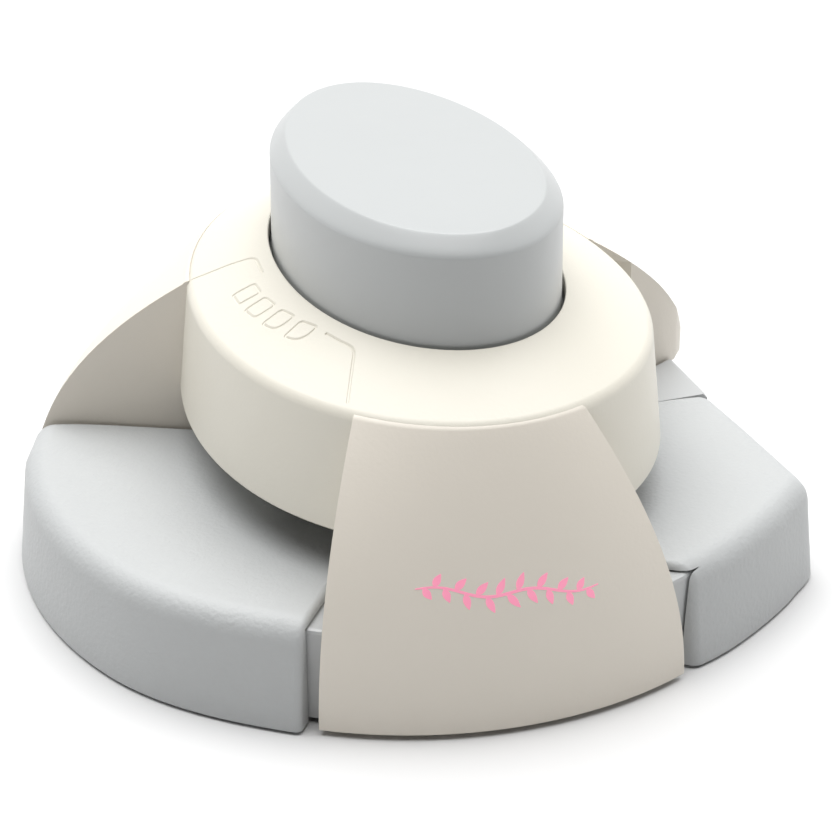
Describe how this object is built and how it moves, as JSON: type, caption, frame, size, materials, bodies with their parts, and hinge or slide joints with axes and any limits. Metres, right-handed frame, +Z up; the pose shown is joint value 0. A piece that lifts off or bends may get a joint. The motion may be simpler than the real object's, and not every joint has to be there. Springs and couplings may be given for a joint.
{
  "type": "corner rounder",
  "caption": "Desktop paper corner rounder: an oval push button over a ring on flared legs drives corner punches through dies set between flat paper tables.",
  "frame": {"origin": "centre of the outline on the surface the feet stand on; the press axis is 3.257 mm towards +X of it", "axes": "+Z up along the press stroke; the front leg faces -Y; the oval button's long axis lies along Y"},
  "size_m": [0.103, 0.1052, 0.0574],
  "materials": {
    "cream_plastic": "satin moulded cream plastic",
    "button_plastic": "smooth light grey plastic, soft gloss",
    "table_plastic": "fine spark-textured light grey plastic",
    "base_plastic": "smooth light grey plastic",
    "nylon": "natural white nylon",
    "steel": "ground hardened steel",
    "screw_steel": "zinc-plated steel",
    "rubber": "matt dark rubber"
  },
  "bodies": {
    "base": {"base_body": "base_plastic", "bottom_plate": "base_plastic", "door_hinge_pin": "steel", "front_casing_screw": "screw_steel", "front_guide_post": "steel", "front_return_spring": "screw_steel", "left_casing_screw": "screw_steel", "left_die": "steel", "left_die_screw_a": "screw_steel", "left_die_screw_b": "screw_steel", "left_foot": "rubber", "left_guide_block": "nylon", "left_guide_post": "steel", "left_return_spring": "screw_steel", "left_table": "table_plastic", "rear_die": "steel", "rear_die_screw_a": "screw_steel", "rear_die_screw_b": "screw_steel", "rear_foot": "rubber", "rear_guide_block": "nylon", "rear_table": "table_plastic", "right_casing_screw": "screw_steel", "right_die": "steel", "right_die_screw_a": "screw_steel", "right_die_screw_b": "screw_steel", "right_foot": "rubber", "right_guide_block": "nylon", "right_guide_post": "steel", "right_return_spring": "screw_steel", "right_table": "table_plastic", "upper_casing": "cream_plastic"},
    "press": {"push_button": "button_plastic", "punch_carrier": "nylon", "left_punch": "steel", "right_punch": "steel", "rear_punch": "steel", "front_guide_bush": "nylon", "left_guide_bush": "nylon", "right_guide_bush": "nylon", "rear_carrier_screw": "screw_steel", "left_carrier_screw": "screw_steel", "right_carrier_screw": "screw_steel"},
    "door": {"chip_door": "base_plastic"}
  },
  "joints": [
    {"name": "button_press", "type": "slide", "parent": "base", "child": "press", "axis": [0, 0, -1], "range_m": [0, 0.006], "stiffness_N_per_m": 2500, "springref_m": -0.004, "deforming": ["front_return_spring", "left_return_spring", "right_return_spring"]},
    {"name": "door_hinge", "type": "hinge", "parent": "base", "child": "door", "pos_m": [0.00326, 0.0215, 0.0033], "axis": [1, 0, 0], "range_deg": [0, 95]}
  ]
}
